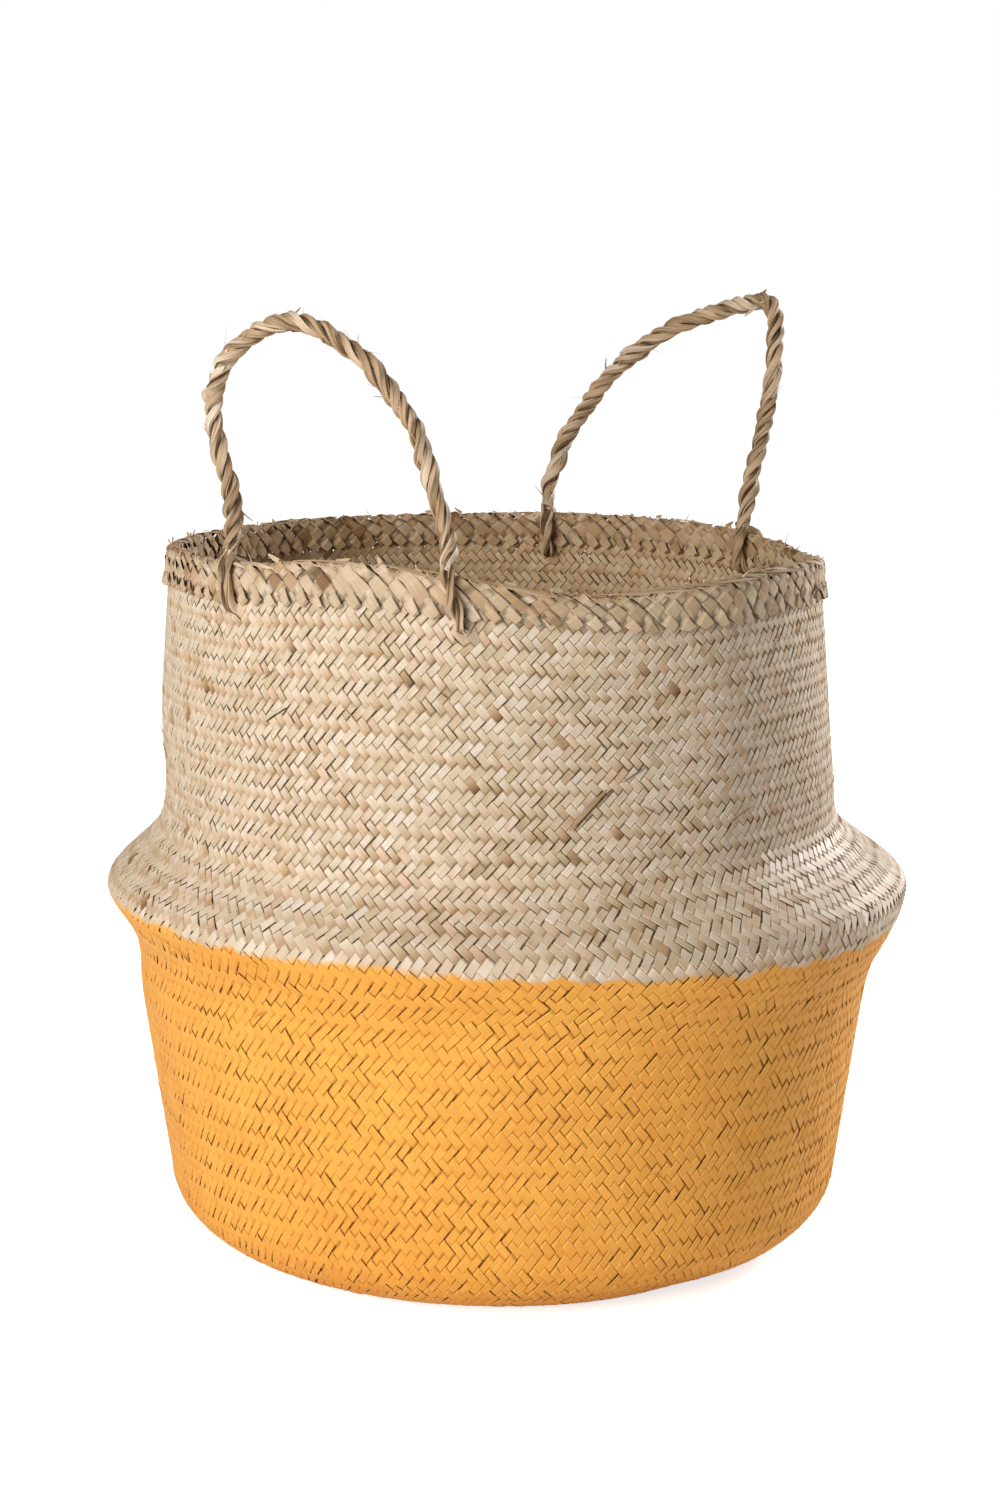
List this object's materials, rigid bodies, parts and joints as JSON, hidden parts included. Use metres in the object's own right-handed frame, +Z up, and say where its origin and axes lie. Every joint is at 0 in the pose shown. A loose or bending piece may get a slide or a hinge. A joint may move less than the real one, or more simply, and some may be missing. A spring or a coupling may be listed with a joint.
{
  "type": "rush basket",
  "caption": "Round plaited rush basket with a painted lower half, a turned-over belly, a narrower upper wall and two folding twisted-rope loop handles on opposite sides.",
  "frame": {"origin": "on the floor under the middle of the base", "axes": "+Z up; the handles stand at -Y and +Y, and their hinge lines run along X"},
  "size_m": [0.4, 0.4001, 0.4653],
  "materials": {
    "painted_rush": "plaited split rush with a matt yellow-orange paint on the outside, the weave showing through",
    "natural_rush": "bare plaited split rush, matt, strip by strip variation from straw to tan",
    "rush_rope": "twisted rush rope, matt, tan with dark grooves and loose fibres"
  },
  "bodies": {
    "lower_half": {"base_mat": "painted_rush", "lower_wall": "painted_rush", "belly_shoulder": "natural_rush"},
    "upper_half": {"upper_wall": "natural_rush", "rim_border_outer": "natural_rush", "rim_border_inner": "natural_rush", "front_handle_left_eye": "rush_rope", "front_handle_right_eye": "rush_rope", "back_handle_left_eye": "rush_rope", "back_handle_right_eye": "rush_rope"},
    "front_handle": {"front_handle_rope": "rush_rope"},
    "back_handle": {"back_handle_rope": "rush_rope"}
  },
  "joints": [
    {"name": "upper_half_push_down", "type": "slide", "parent": "lower_half", "child": "upper_half", "axis": [0, 0, 1], "range_m": [-0.075, 0], "deforming": ["belly_shoulder"]},
    {"name": "front_handle_fold", "type": "hinge", "parent": "upper_half", "child": "front_handle", "pos_m": [0.00439, -0.14845, 0.36208], "axis": [0.9986, 0.0524, -0.005], "range_deg": [-125, 105]},
    {"name": "back_handle_fold", "type": "hinge", "parent": "upper_half", "child": "back_handle", "pos_m": [0.00579, 0.14271, 0.35674], "axis": [-0.9977, 0.063, 0.0262], "range_deg": [-125, 105]}
  ]
}
